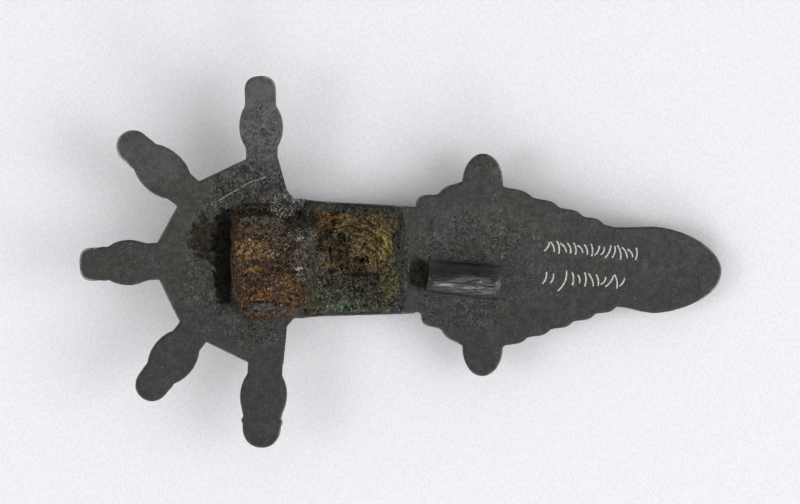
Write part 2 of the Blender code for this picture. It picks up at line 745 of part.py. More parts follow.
def set_down(pieces):
    """Leans the brooch as it rests, and puts the middle of its footprint at the origin."""
    table = bpy.data.objects.new("resting_brooch", None)
    bpy.context.scene.collection.objects.link(table)
    table.rotation_euler = (0, resting_lean(pieces[0]), 0)
    for piece in pieces:
        piece.parent = table
    bpy.context.view_layer.update()
    turn = np.array(table.matrix_world)[:3, :3]
    points = np.concatenate([triangles_of(piece).reshape(-1, 3) for piece in pieces]) @ turn.T
    low, high = points.min(axis=0), points.max(axis=0)
    table.location = (-(low[0] + high[0]) / 2, -(low[1] + high[1]) / 2, -low[2])


def main():
    clear_scene()
    pieces = [make_body(), make_spring_remains(), make_bow_crust()]
    for piece in pieces:
        piece.data.transform(Matrix.Scale(MILLIMETRE, 4))
        piece.data.shade_smooth()
        piece.data.set_sharp_from_angle(angle=math.radians(35))
    set_down(pieces)


main()
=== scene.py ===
import json
import math

import bmesh
import bpy
import numpy as np
from mathutils import Matrix, Vector
from mathutils import noise as spaceNoise
from mathutils.bvhtree import BVHTree

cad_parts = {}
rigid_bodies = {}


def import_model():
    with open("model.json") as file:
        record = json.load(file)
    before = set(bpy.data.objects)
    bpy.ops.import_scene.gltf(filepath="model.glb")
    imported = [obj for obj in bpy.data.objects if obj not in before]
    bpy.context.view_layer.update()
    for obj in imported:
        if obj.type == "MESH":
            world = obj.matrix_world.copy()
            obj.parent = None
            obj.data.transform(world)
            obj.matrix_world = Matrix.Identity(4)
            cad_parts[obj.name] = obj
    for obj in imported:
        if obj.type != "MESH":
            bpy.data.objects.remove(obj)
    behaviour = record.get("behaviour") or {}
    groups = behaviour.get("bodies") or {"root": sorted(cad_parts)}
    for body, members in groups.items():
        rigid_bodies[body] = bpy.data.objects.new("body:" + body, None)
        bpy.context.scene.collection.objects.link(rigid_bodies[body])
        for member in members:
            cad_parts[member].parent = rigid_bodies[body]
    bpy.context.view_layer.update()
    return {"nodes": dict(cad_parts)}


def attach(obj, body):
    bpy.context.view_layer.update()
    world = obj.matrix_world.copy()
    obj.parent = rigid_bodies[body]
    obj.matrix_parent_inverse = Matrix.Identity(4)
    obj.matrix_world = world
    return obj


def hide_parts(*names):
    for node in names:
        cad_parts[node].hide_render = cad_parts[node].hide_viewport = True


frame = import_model()
scene = bpy.context.scene
mm = 0.001

# The flat back of the brooch as the solids have it: it leans about y and falls towards the foot
flatBack = {
    "lean": math.atan2(0.1091, 0.99403),
    "height at middle": 7.892 * mm,
    "bow middle": (-6.585 * mm, 0.1 * mm),
}


def backHeight(x):
    return flatBack["height at middle"] - x * math.tan(flatBack["lean"])


def backPlace():
    # takes a shape drawn on the flat back, round the middle of the bow, to where the brooch lies
    x, y = flatBack["bow middle"]
    return Matrix.Translation((x, y, backHeight(x))) @ Matrix.Rotation(flatBack["lean"], 4, "Y")


def srgb(red, green, blue):
    # a colour as a picture editor shows it, 0 to 255, made linear
    linear = [((c / 255 + 0.055) / 1.055) ** 2.4 if c > 10 else c / 3294.6 for c in (red, green, blue)]
    return (*linear, 1.0)


black = (0.0, 0.0, 0.0, 1.0)


def put(tree, kind, inputs=None, **settings):
    # a new node: its settings, and its inputs as values or as links from other nodes
    made = tree.nodes.new(kind)
    for key, value in settings.items():
        setattr(made, key, value)
    for key, value in (inputs or {}).items():
        if isinstance(value, bpy.types.NodeSocket):
            tree.links.new(value, made.inputs[key])
        else:
            made.inputs[key].default_value = value
    return made


def reckon(tree, operation, first, second=0.0):
    # a sum on numbers or on sockets; the four after it are the usual ones
    return put(tree, "ShaderNodeMath", {0: first, 1: second}, operation=operation).outputs[0]


def plus(tree, first, second):
    return reckon(tree, "ADD", first, second)


def minus(tree, first, second):
    return reckon(tree, "SUBTRACT", first, second)


def times(tree, first, second):
    return reckon(tree, "MULTIPLY", first, second)


def larger(tree, first, second):
    return reckon(tree, "MAXIMUM", first, second)


def vectorWork(tree, operation, inputs, output=0):
    return put(tree, "ShaderNodeVectorMath", inputs, operation=operation).outputs[output]


def joined(tree, x=0.0, y=0.0, z=0.0):
    return put(tree, "ShaderNodeCombineXYZ", {0: x, 1: y, 2: z}).outputs[0]


def mapping(tree, coords, place=(0, 0, 0), turn=0.0, scale=(1, 1, 1)):
    inputs = {"Vector": coords, "Location": place, "Rotation": (0, 0, turn), "Scale": scale}
    return put(tree, "ShaderNodeMapping", inputs).outputs[0]


def noise(tree, coords, size, detail=3.0, roughness=0.55, distortion=0.0, seed=0.0):
    # size is the width of one blotch, in the units of coords
    inputs = {"Vector": coords, "W": seed, "Scale": 1 / size, "Detail": detail, "Roughness": roughness}
    made = put(tree, "ShaderNodeTexNoise", dict(inputs, Distortion=distortion), noise_dimensions="4D")
    return made.outputs[0]


def cells(tree, coords, size):
    return put(tree, "ShaderNodeTexVoronoi", {"Vector": coords, "Scale": 1 / size}).outputs["Distance"]


def between(tree, value, low, high):
    # 0 at low, 1 at high, and smooth between; low may be above high
    inputs = {0: value, 1: low, 2: high, 3: 0.0, 4: 1.0}
    return put(tree, "ShaderNodeMapRange", inputs, interpolation_type="SMOOTHSTEP").outputs[0]


def mixed(tree, share, first, second, mode="MIX"):
    made = put(tree, "ShaderNodeMix", {0: share, 6: first, 7: second}, data_type="RGBA", blend_type=mode)
    return made.outputs[2]


def laid(tree, base, colour, mask, strength):
    # a colour over the base, where the mask is 1
    return mixed(tree, times(tree, mask, strength), base, colour)


def patch(tree, coords, middle, halfSizes, ragged, seed):
    # 1 inside a ragged oval on the x, y plane, 0 outside, in millimetres
    place = (-middle[0] / halfSizes[0], -middle[1] / halfSizes[1], 0)
    oval = mapping(tree, coords, place, scale=(1 / halfSizes[0], 1 / halfSizes[1], 0.0))
    reach = vectorWork(tree, "LENGTH", {0: oval}, "Value")
    ragging = noise(tree, coords, min(halfSizes) * 0.55, 4, 0.65, seed=seed)
    wobbled = plus(tree, reach, times(tree, minus(tree, ragging, 0.5), ragged * 4))
    return between(tree, wobbled, 1.15, 0.75)


def patches(tree, coords, areas, ragged, seed, start):
    # the strongest of several patches, and never less than start; an area is its middle, half sizes and strength
    most = start
    for i, (middle, halfSizes, strength) in enumerate(areas):
        here = patch(tree, coords, middle, halfSizes, ragged, seed + i)
        most = larger(tree, most, times(tree, here, strength))
    return most


def streak(tree, coords, start, end, width):
    # 1 on a straight scratch from start to end, in millimetres on the x, y plane
    flat = vectorWork(tree, "MULTIPLY", {0: coords, 1: (1, 1, 0)})
    way = Vector((end[0] - start[0], end[1] - start[1], 0))
    offset = vectorWork(tree, "SUBTRACT", {0: flat, 1: (start[0], start[1], 0)})
    along = vectorWork(tree, "DOT_PRODUCT", {0: offset, 1: tuple(way / way.length_squared)}, "Value")
    share = put(tree, "ShaderNodeClamp", {0: along}).outputs[0]
    nearest = vectorWork(tree, "SCALE", {0: tuple(way), 3: share})
    gap = vectorWork(tree, "DISTANCE", {0: offset, 1: nearest}, "Value")
    ragging = noise(tree, coords, 0.5, 3, 0.7, seed=4.0)
    broken = plus(tree, gap, times(tree, ragging, width))
    return between(tree, broken, width * 1.1, width * 0.65)


def newMaterial(name):
    material = bpy.data.materials.new(name)
    material.use_nodes = True
    tree = material.node_tree
    place = put(tree, "ShaderNodeTexCoord").outputs["Object"]
    coords = mapping(tree, place, scale=(1 / mm, 1 / mm, 1 / mm))  # millimetres
    return material, tree, tree.nodes["Principled BSDF"], coords


def bumped(tree, shader, height, depth, strength=1.0):
    # height is 0 to 1, depth is in millimetres
    bump = put(tree, "ShaderNodeBump", {"Height": height, "Distance": depth * mm, "Strength": strength})
    tree.links.new(bump.outputs[0], shader.inputs["Normal"])


patina = {
    "blueGrey": srgb(53, 56, 58),
    "olive": srgb(56, 56, 49),
    "brown": srgb(62, 60, 50),
    "pale": srgb(88, 91, 90),
    "dark": srgb(20, 20, 18),
    "speck": srgb(150, 156, 148),
    "ochre": srgb(112, 98, 56),
    "green": srgb(62, 73, 57),
    "rub": srgb(112, 113, 110),
    "edge wear and highlight": srgb(150, 152, 148),
    "dirt": srgb(28, 26, 20),
    "scratch and highlight": srgb(182, 182, 178),
    "abrasion": srgb(205, 203, 196),
    "roughness": 0.4,
    "metallic": 0.3,
    "darkening": 0.26,
    "painted near shade": 0.2,
    "speckling": 0.24,
    "edge highlight share": 0.35,
    # single places: middle, half sizes, raggedness and seed
    "iron side": ((-20, 1), (13, 12), 0.3, 2.0),
    "pale knob": ((-19, 19.5), (4.5, 6.5), 0.3, 6.0),
    "next knob": ((-35, 14), (5.5, 4), 0.3, 144.0),
    "browned": ((-27.0, 3.4), (2.2, 2.9), 0.5, 146.0),
    # the recess beside the spring: black corrosion with a painted shadow of the spring's rust
    "recessCorrosionAndShadow": ((-24.0, 0.9), (1.9, 6.9), 0.45, 11.0),
    "spot": ((2.4, -1.7), (1.5, 2.3), 0.3, 12.0),
    "catch": ((8.1, -2.5), (5.6, 2.9), 0.0, 0.0),
    "crumb": ((-19.4, 8.1), (1.1, 0.5), 0.4, 141.0),
    "abraded": ((-15.8, 7.8), (3.2, 1.6), 0.35, 14.0),
    # the tones of their grain, from dark to light; the catch has two light ones, the last a painted highlight where it
    # is brightest
    "browned tones": (srgb(20, 18, 15), srgb(70, 62, 50)),
    "recess corrosion and shadow tones": (srgb(6, 6, 5), srgb(52, 49, 43)),
    "spot tones": (srgb(22, 22, 17), srgb(86, 86, 66)),
    "catch tones": (srgb(38, 40, 39), srgb(62, 64, 62), srgb(132, 134, 129)),
    "crumb tones": (srgb(52, 40, 30), srgb(142, 126, 106)),
    # several places: middle, half sizes and strength
    "corroded": (
        ((-21.0, 0.5), (9.5, 12.5), 0.75),
        ((-19.5, 9.4), (7.0, 4.6), 1.3),
        ((-17.6, -9.0), (5.0, 2.6), 1.0),
        ((-19.3, 17.0), (2.8, 4.5), 0.9),
        ((9.5, 2.6), (8.0, 4.5), 0.9),
        ((8.0, -6.0), (7.0, 3.5), 0.7),
        ((16.5, 0.0), (4.5, 5.5), 0.5),
    ),
    "green specks": (
        ((9.5, 3.4), (8.5, 4.8), 1.0),
        ((4.5, -4.8), (3.5, 3.0), 0.9),
        ((13.8, -3.2), (1.8, 2.4), 1.0),
        ((34.5, 3.6), (4.5, 1.8), 0.8),
        ((-16.5, -8.6), (3.0, 2.0), 0.7),
    ),
    "blue areas": (
        ((-18.7, -19.5), (3.6, 6.5), 1.0),
        ((-32.8, -14.2), (5.0, 5.2), 1.0),
        ((17.5, -2.0), (4.5, 4.5), 1.0),
        ((11.0, -13.0), (4.0, 3.0), 1.0),
        ((38.0, -1.5), (6.0, 5.0), 1.0),
        ((-35.5, 13.0), (3.4, 4.5), 1.0),
    ),
    # the tips of the knobs and ends, where the edges get a stronger painted highlight
    "tip highlights": (
        ((-43.0, 0.2), (2.5, 3.2), 1.0),
        ((-38.0, 16.0), (2.4, 3.4), 1.0),
        ((-17.6, 23.0), (1.8, 4.6), 1.0),
        ((12.6, 12.5), (2.0, 2.6), 1.0),
        ((12.4, -13.0), (2.0, 2.8), 1.0),
        ((42.0, -1.5), (3.0, 5.0), 1.0),
        ((-17.0, -20.5), (2.0, 5.0), 1.0),
    ),
    # the scratches on the head, and a painted highlight along the rim where the bow's hollow meets the foot: start,
    # end and width
    "scratches and rim highlight": (
        ((-25.9, 7.8), (-24.5, 8.6), 0.14),
        ((-24.5, 8.6), (-22.5, 9.8), 0.2),
        ((-22.4, 9.8), (-20.6, 10.9), 0.13),
        ((-20.6, 10.9), (-18.6, 11.5), 0.19),
        ((0.1, 5.3), (0.85, 1.9), 0.1),
        ((0.85, 1.9), (1.0, -1.3), 0.1),
        ((1.0, -1.3), (0.4, -4.1), 0.1),
        ((0.4, -4.1), (-0.6, -6.2), 0.1),
    ),
    # hairlines: how each family is turned, and the gap between them
    "hairlines": ((0.5, 0.36), (-1.1, 0.28)),
}


def bronzePatina():
    material, tree, shader, coords = newMaterial("bronzePatina")
    # how high a place is above the floor once the brooch's lean is taken off
    parts = put(tree, "ShaderNodeSeparateXYZ", {0: coords}).outputs
    level = plus(tree, parts[2], times(tree, parts[0], math.tan(flatBack["lean"])))
    backLevel = flatBack["height at middle"] / mm
    onBack = between(tree, level, backLevel - 1.0, backLevel - 0.4)
    onCatch = between(tree, level, backLevel + 0.5, backLevel + 1.1)
    # the ground: blue-grey and olive, browner near the iron, with dark and pale blotches
    broad = noise(tree, coords, 9, 4, 0.6, 0.4, seed=1.0)
    bluer = patches(tree, coords, patina["blue areas"], 0.3, 130.0, between(tree, broad, 0.4, 0.62))
    base = mixed(tree, bluer, patina["olive"], patina["blueGrey"])
    base = laid(tree, base, patina["brown"], patch(tree, coords, *patina["iron side"]), 0.6)
    fine = noise(tree, coords, 0.8, 6, 0.7, seed=3.0)
    base = mixed(tree, between(tree, fine, 0.36, 0.62), mixed(tree, 0.62, base, patina["dark"]), base)
    blotch = noise(tree, coords, 2.4, 5, 0.7, 0.8, seed=5.0)
    base = laid(tree, base, patina["pale"], between(tree, blotch, 0.5, 0.7), 0.45)
    # the uppermost knob is paler, and the next one a little
    paleKnobs = times(tree, patch(tree, coords, *patina["next knob"]), 0.5)
    paleKnobs = larger(tree, patch(tree, coords, *patina["pale knob"]), paleKnobs)
    mottled = between(tree, noise(tree, coords, 1.3, 5, 0.75, 0.6, seed=142.0), 0.42, 0.56)
    base = laid(tree, base, patina["pale"], paleKnobs, plus(tree, times(tree, mottled, 0.55), 0.45))
    greenish = noise(tree, coords, 3.5, 4, 0.6, seed=7.0)
    base = laid(tree, base, patina["green"], between(tree, greenish, 0.6, 0.72), 0.5)
    # dark pits and pale specks, and where each kind lies
    pitsHere = between(tree, noise(tree, coords, 4, 3, 0.6, seed=8.0), 0.5, 0.62)
    pitted = times(tree, between(tree, cells(tree, coords, 0.7), 0.2, 0.08), pitsHere)
    base = mixed(tree, pitted, base, patina["dark"])
    specksHere = between(tree, noise(tree, coords, 5, 3, 0.7, seed=9.0), 0.52, 0.66)
    specked = times(tree, between(tree, cells(tree, coords, 0.85), 0.15, 0.06), specksHere)
    base = laid(tree, base, patina["speck"], specked, 0.7)
    # mottle, and salt and pepper, stronger where it is corroded
    corroded = patches(tree, coords, patina["corroded"], 0.4, 110.0, patina["speckling"])
    mottle = noise(tree, coords, 1.0, 6, 0.8, 0.5, seed=143.0)
    base = laid(tree, base, patina["rub"], times(tree, between(tree, mottle, 0.51, 0.59), corroded), 0.55)
    base = laid(tree, base, patina["dark"], times(tree, between(tree, mottle, 0.48, 0.4), corroded), 0.8)
    salt = noise(tree, coords, 0.26, 4, 0.85, seed=18.0)
    salted = times(tree, between(tree, salt, 0.53, 0.61), corroded)
    peppered = times(tree, between(tree, salt, 0.47, 0.39), corroded)
    base = laid(tree, base, patina["speck"], salted, 0.5)
    base = laid(tree, base, patina["dark"], peppered, 0.85)
    speckled = between(tree, noise(tree, coords, 0.55, 4, 0.75, seed=19.0), 0.47, 0.62)
    for i, (middle, halfSizes, strength) in enumerate(patina["green specks"]):
        here = patch(tree, coords, middle, halfSizes, 0.4, 120.0 + i)
        base = laid(tree, base, patina["green"], times(tree, here, strength * 0.6), speckled)
    ochreEdge = plus(tree, cells(tree, coords, 2.6), times(tree, fine, 0.16))
    ochresHere = between(tree, noise(tree, coords, 6, 2, 0.5, seed=10.0), 0.54, 0.62)
    ochred = times(tree, between(tree, ochreEdge, 0.2, 0.11), ochresHere)
    base = laid(tree, base, patina["ochre"], ochred, 0.6)
    # the burnt-looking ground beside the spring, black corrosion with a painted shadow of the spring's rust over it,
    # and a brown patch to its left
    crusted = between(tree, noise(tree, coords, 0.45, 5, 0.8, 0.4, seed=145.0), 0.44, 0.58)
    browned = times(tree, patch(tree, coords, *patina["browned"]), onBack)
    base = laid(tree, base, mixed(tree, crusted, *patina["browned tones"]), browned, 0.8)
    # painted shadow of the spring's rust, over black corrosion
    recessCorrosionAndShadow = times(tree, patch(tree, coords, *patina["recessCorrosionAndShadow"]), onBack)
    base = laid(tree, base, mixed(tree, crusted, *patina["recess corrosion and shadow tones"]), recessCorrosionAndShadow, 0.85)
    # the corroded spot between bow and catch
    spot = patch(tree, coords, *patina["spot"])
    spotGrain = noise(tree, coords, 0.3, 5, 0.85, 0.4, seed=13.0)
    spotTone = between(tree, plus(tree, spotGrain, times(tree, fine, 0.4)), 0.6, 0.82)
    base = laid(tree, base, mixed(tree, spotTone, *patina["spot tones"]), spot, 0.85)
    # the catch is rubbed smooth along its length, with a painted highlight at its lower right
    catch = times(tree, onCatch, patch(tree, coords, *patina["catch"]))
    rubs = noise(tree, mapping(tree, coords, turn=0.09, scale=(0.1, 1, 1)), 0.3, 4, 0.7, seed=20.0)
    # painted highlight: lighter towards the catch's lower right
    bright = times(tree, between(tree, parts[0], 2.0, 9.5), between(tree, parts[1], -1.2, -2.9))
    dark, rubbedAndHighlit, brightest = patina["catch tones"]
    catchColour = mixed(tree, between(tree, rubs, 0.36, 0.66), dark, mixed(tree, bright, rubbedAndHighlit, brightest))
    base = laid(tree, base, catchColour, catch, 0.9)
    # scratches and a painted rim highlight, a pale crumb of crust beside the spring, and abrasion at its corner
    scratchedAndHighlit = 0.0
    for start, end, width in patina["scratches and rim highlight"]:
        scratchedAndHighlit = larger(tree, scratchedAndHighlit, streak(tree, coords, start, end, width))
    broken = times(tree, between(tree, noise(tree, coords, 0.6, 4, 0.8, seed=140.0), 0.38, 0.56), onBack)
    base = laid(tree, base, patina["scratch and highlight"], scratchedAndHighlit, broken)
    crumbColour = mixed(tree, between(tree, fine, 0.4, 0.6), *patina["crumb tones"])
    base = laid(tree, base, crumbColour, patch(tree, coords, *patina["crumb"]), 0.8)
    abraded = times(tree, patch(tree, coords, *patina["abraded"]), onBack)
    glints = between(tree, noise(tree, coords, 0.36, 4, 0.8, seed=15.0), 0.53, 0.6)
    base = laid(tree, base, patina["abrasion"], abraded, glints)
    hair = 0.0
    for turn, gap in patina["hairlines"]:
        lines = mapping(tree, coords, turn=turn, scale=(0.12, 1, 1))
        hair = larger(tree, hair, between(tree, noise(tree, lines, gap, 2, 0.5, seed=16 + turn), 0.68, 0.76))
    base = laid(tree, base, patina["pale"], hair, 0.3)
    # edges rubbed bright with a painted highlight along them, above all on the tips, and hollows dirty
    wear = put(tree, "ShaderNodeAttribute", attribute_name="edgeWear").outputs["Fac"]
    tips = patches(tree, coords, patina["tip highlights"], 0.2, 150.0, patina["edge highlight share"])
    wornAndHighlit = plus(tree, wear, times(tree, minus(tree, fine, 0.5), 0.5))
    rubbedAndHighlit = between(tree, plus(tree, wornAndHighlit, times(tree, tips, 0.25)), 0.43, 0.85)
    base = laid(tree, base, patina["edge wear and highlight"], rubbedAndHighlit, tips)
    base = laid(tree, base, patina["dirt"], between(tree, wear, -0.25, -0.8), 0.75)
    # darker all over, and a painted shade that deepens towards the near side
    paintedNearShade = times(tree, between(tree, parts[1], 8.0, -16.0), patina["painted near shade"])
    darkened = mixed(tree, plus(tree, paintedNearShade, patina["darkening"]), base, black)
    tree.links.new(darkened, shader.inputs["Base Color"])
    # the catch shines as metal, and the dark and dirty places don't shine at all
    rough = larger(tree, recessCorrosionAndShadow, spot)
    matt = larger(tree, rough, larger(tree, browned, peppered))
    metallic = larger(tree, times(tree, catch, 0.45), times(tree, matt, 0.6))
    tree.links.new(plus(tree, patina["metallic"], metallic), shader.inputs["Metallic"])
    dull = plus(tree, patina["roughness"], times(tree, minus(tree, blotch, 0.5), 0.5))
    dull = plus(tree, dull, times(tree, rough, 0.4))
    dull = plus(tree, dull, times(tree, corroded, 0.08))
    tree.links.new(minus(tree, dull, times(tree, catch, 0.17)), shader.inputs["Roughness"])
    # the finest relief
    grain = noise(tree, coords, 0.25, 4, 0.6, seed=17.0)
    height = plus(tree, times(tree, grain, 0.5), times(tree, fine, 0.8))
    height = minus(tree, height, times(tree, pitted, 0.6))
    height = minus(tree, height, times(tree, larger(tree, hair, scratchedAndHighlit), 0.35))
    height = plus(tree, height, times(tree, minus(tree, salted, peppered), 0.5))
    height = plus(tree, height, times(tree, rough, times(tree, spotGrain, 4.0)))
    height = times(tree, height, minus(tree, 1.0, times(tree, catch, 0.7)))
    bumped(tree, shader, height, 0.05, 0.8)
    return material


rust = {
    "brown": srgb(80, 61, 46),
    "shade": srgb(40, 30, 22),
    "orange": srgb(122, 80, 38),
    "orange shade": srgb(70, 44, 22),
    "yellow": srgb(140, 112, 66),
    "dark": srgb(14, 11, 8),
    "pale": srgb(205, 200, 188),
    "grain size": 0.34,  # millimetres
    "brightening": 1.1,
    "shine": 0.12,
    # the fibres in the fan run round this point; their width in millimetres, and how fast they change on the way round
    "fibre middle": (-7.0, -0.6),
    "fibre size": 0.22,
    "fibre turns": 1.6,
    # where orange shows through: middle, half sizes, raggedness and seed
    "orange ground": ((-18.8, -1.0), (4.0, 6.2), 0.4, 45.0),
    # areas of their own colour, laid one over the other: middle, half sizes, strength, darker and lighter colour
    "areas": {
        "top edge": ((-19.4, 7.5), (4.8, 1.2), 0.95, srgb(16, 14, 12), srgb(66, 60, 53)),
        "corner ground": ((-16.0, 7.3), (2.6, 1.5), 0.9, srgb(12, 11, 9), srgb(66, 62, 56)),
        # the dark gap above the upper lug, painted as shade
        "slot shade": ((-19.5, 6.7), (3.4, 0.6), 1.0, srgb(5, 4, 3), srgb(36, 27, 19)),
        "purple top": ((-18.6, 5.0), (3.4, 1.2), 0.9, srgb(44, 36, 31), srgb(84, 74, 66)),
        "green edge": ((-20.9, 5.7), (1.2, 0.36), 1.0, srgb(48, 50, 38), srgb(84, 86, 66)),
        "yellow band": ((-20.4, 1.6), (3.2, 1.4), 0.8, srgb(62, 43, 26), srgb(138, 110, 72)),
        "orange spot": ((-19.6, -1.1), (1.1, 0.5), 0.8, srgb(96, 66, 32), srgb(146, 112, 62)),
        "low orange": ((-19.4, -4.9), (1.9, 0.6), 0.9, srgb(40, 23, 10), srgb(116, 78, 36)),
        "block right": ((-15.9, 1.6), (1.5, 3.2), 0.7, srgb(28, 22, 16), srgb(80, 67, 53)),
        "right rust": ((-15.2, -3.8), (1.8, 2.2), 0.75, srgb(50, 36, 20), srgb(110, 82, 48)),
        "brown low": ((-17.5, -6.6), (4.6, 0.7), 0.6, srgb(52, 44, 36), srgb(88, 78, 66)),
        "grey ground": ((-4.5, 0.2), (9.2, 11.0), 1.0, srgb(34, 32, 26), srgb(86, 83, 70)),
        "block's left side": ((-23.4, 1.5), (0.8, 5.6), 0.8, srgb(20, 16, 12), srgb(74, 64, 52)),
        "fan": ((-7.1, 2.9), (6.6, 4.8), 0.95, srgb(42, 33, 20), srgb(142, 121, 82)),
        "fan orange": ((-10.6, 5.7), (2.8, 1.5), 0.8, srgb(50, 33, 18), srgb(126, 92, 54)),
        "fan shade": ((-9.8, 2.2), (3.3, 2.3), 0.85, srgb(24, 23, 17), srgb(84, 78, 62)),
        "fan gold": ((-3.0, 2.4), (1.8, 2.3), 0.8, srgb(60, 50, 26), srgb(160, 140, 82)),
        "grey crystals": ((-12.9, 0.9), (1.7, 4.4), 0.85, srgb(26, 24, 20), srgb(84, 80, 71)),
        "dark corner": ((-13.6, 5.9), (2.4, 2.4), 1.0, srgb(10, 10, 8), srgb(40, 39, 31)),
        "fan foot": ((-6.6, -0.4), (2.8, 1.1), 0.75, srgb(28, 22, 14), srgb(74, 64, 48)),
        "dark middle": ((-7.2, -2.9), (3.4, 1.3), 0.85, srgb(22, 22, 17), srgb(68, 68, 60)),
        "green low": ((-9.0, -5.4), (4.3, 1.6), 0.85, srgb(36, 39, 30), srgb(90, 96, 76)),
        "bright green": ((-7.6, -6.1), (1.6, 0.7), 0.6, srgb(44, 70, 52), srgb(84, 112, 84)),
        "low dark": ((-4.2, -4.4), (1.8, 1.3), 0.7, srgb(32, 31, 24), srgb(70, 66, 56)),
        "olive side": ((-1.6, -2.6), (1.3, 3.1), 0.85, srgb(40, 38, 22), srgb(114, 112, 76)),
        # thin crust at the edges of the bow, nearly the colour of the patina
        "upper rim": ((-5.2, 7.4), (8.6, 0.9), 0.95, srgb(46, 48, 42), srgb(74, 77, 68)),
        "lower rim": ((-5.4, -7.3), (8.4, 0.6), 0.95, srgb(46, 48, 42), srgb(74, 77, 68)),
        "foot rim": ((0.5, 1.6), (1.5, 6.6), 0.95, srgb(42, 44, 37), srgb(72, 76, 66)),
        "foot corner": ((0.5, -6.3), (1.9, 2.6), 1.0, srgb(52, 55, 56), srgb(70, 73, 74)),
    },
    # thin dark cracks and holes, their darkness partly painted shade, the long one under the fan's ledge above all:
    # middle, half sizes and strength
    "holes": (
        ((-5.6, -1.7), (2.5, 0.28), 1.0),
        ((-8.1, 3.2), (0.5, 0.9), 1.0),
        ((-9.3, -1.2), (0.7, 0.3), 1.0),
        ((-14.3, -1.0), (0.45, 0.4), 1.0),
    ),
    # where pale crystals carry painted glints: middle, half sizes and how thickly
    "glints": (
        ((-16.1, 7.3), (2.1, 1.5), 1.15),
        ((-13.3, 3.5), (2.1, 1.3), 0.8),
        ((-11.9, -0.6), (3.0, 3.0), 0.55),
        ((-21.9, -0.6), (1.6, 3.0), 0.5),
        ((-18.4, 2.2), (4.2, 2.2), 0.45),
        ((-14.0, -0.95), (0.7, 0.35), 1.6),
        ((-6.0, -5.0), (7.5, 2.4), 0.45),
        ((-19.0, -5.0), (5.0, 3.0), 0.4),
    ),
}


def fibres(tree, coords):
    # fine strands that run round one point of the fan, as raiseFan raises them too
    offset = vectorWork(tree, "SUBTRACT", {0: coords, 1: (*rust["fibre middle"], 0)})
    wavering = put(tree, "ShaderNodeTexNoise", {"Vector": coords, "Scale": 0.6, "Detail": 2.0}).outputs[1]
    offset = vectorWork(tree, "MULTIPLY_ADD", {0: wavering, 1: (1.6, 1.6, 0), 2: offset})
    parts = put(tree, "ShaderNodeSeparateXYZ", {0: offset}).outputs
    reach = plus(tree, times(tree, parts[0], parts[0]), times(tree, parts[1], parts[1]))
    across = reckon(tree, "DIVIDE", reckon(tree, "SQRT", reach), rust["fibre size"])
    around = times(tree, reckon(tree, "ARCTAN2", parts[0], parts[1]), rust["fibre turns"])
    return noise(tree, joined(tree, across, around), 1.0, 3, 0.65, seed=44.0)


def ironRust(name):
    material, tree, shader, coords = newMaterial(name)
    broad = noise(tree, coords, 3.0, 5, 0.6, 0.6, seed=21.0)
    coarse = noise(tree, coords, 1.0, 6, 0.7, 0.5, seed=22.0)
    fine = noise(tree, coords, rust["grain size"], 5, 0.8, seed=23.0)
    # light and dark change from grain to grain, and on the fan from fibre to fibre
    crumbs = between(tree, plus(tree, times(tree, fine, 0.7), times(tree, coarse, 0.3)), 0.455, 0.55)
    strands = plus(tree, times(tree, fibres(tree, coords), 0.65), times(tree, fine, 0.35))
    fibrous = between(tree, strands, 0.42, 0.58)
    base = mixed(tree, crumbs, rust["shade"], rust["brown"])
    rusty = times(tree, patch(tree, coords, *rust["orange ground"]), between(tree, broad, 0.5, 0.66))
    base = laid(tree, base, mixed(tree, crumbs, rust["orange shade"], rust["orange"]), rusty, 0.45)
    for i, (area, (middle, halfSizes, strength, darker, lighter)) in enumerate(rust["areas"].items()):
        here = patch(tree, coords, middle, halfSizes, 0.3, 60.0 + i)
        tone = fibrous if area.startswith("fan") else crumbs
        base = laid(tree, base, mixed(tree, tone, darker, lighter), here, strength)
    # stray yellow grains all over, and black pits between the grains
    stray = noise(tree, coords, 0.55, 3, 0.7, seed=24.0)
    base = laid(tree, base, rust["yellow"], between(tree, stray, 0.6, 0.7), 0.4)
    deep = noise(tree, coords, 0.6, 5, 0.75, seed=25.0)
    pitted = patches(tree, coords, rust["holes"], 0.3, 90.0, between(tree, deep, 0.45, 0.4))
    base = laid(tree, base, rust["dark"], pitted, 0.85)
    # pale crystals and flakes, with painted glints on them
    glinting = patches(tree, coords, rust["glints"], 0.35, 100.0, 0.0)
    crystals = plus(tree, noise(tree, coords, 0.25, 4, 0.8, seed=26.0), times(tree, glinting, 0.085))
    flakes = plus(tree, noise(tree, coords, 0.5, 4, 0.8, seed=27.0), times(tree, glinting, 0.05))
    flakes = times(tree, between(tree, flakes, 0.63, 0.67), 0.8)
    sparkle = larger(tree, between(tree, crystals, 0.63, 0.7), flakes)
    base = laid(tree, base, rust["pale"], sparkle, 0.9)
    hollow = put(tree, "ShaderNodeAttribute", attribute_name="edgeWear").outputs["Fac"]
    base = laid(tree, base, rust["dark"], between(tree, hollow, -0.06, -0.5), 0.85)
    brightening = (rust["brightening"],) * 3 + (1.0,)
    tree.links.new(mixed(tree, 1.0, base, brightening, "MULTIPLY"), shader.inputs["Base Color"])
    shader.inputs["Specular IOR Level"].default_value = rust["shine"]
    tree.links.new(minus(tree, 0.85, times(tree, sparkle, 0.5)), shader.inputs["Roughness"])
    height = plus(tree, fine, times(tree, coarse, 0.8))
    bumped(tree, shader, minus(tree, height, times(tree, pitted, 0.8)), 0.2)
    return material


def newPiece(name, data):
    made = bpy.data.objects.new(name, data)
    scene.collection.objects.link(made)
    return made


def settled(piece):
    # the piece's modifiers are turned into plain mesh
    graph = bpy.context.evaluated_depsgraph_get()
    mesh = bpy.data.meshes.new_from_object(piece.evaluated_get(graph))
    piece.modifiers.clear()
    piece.data = mesh


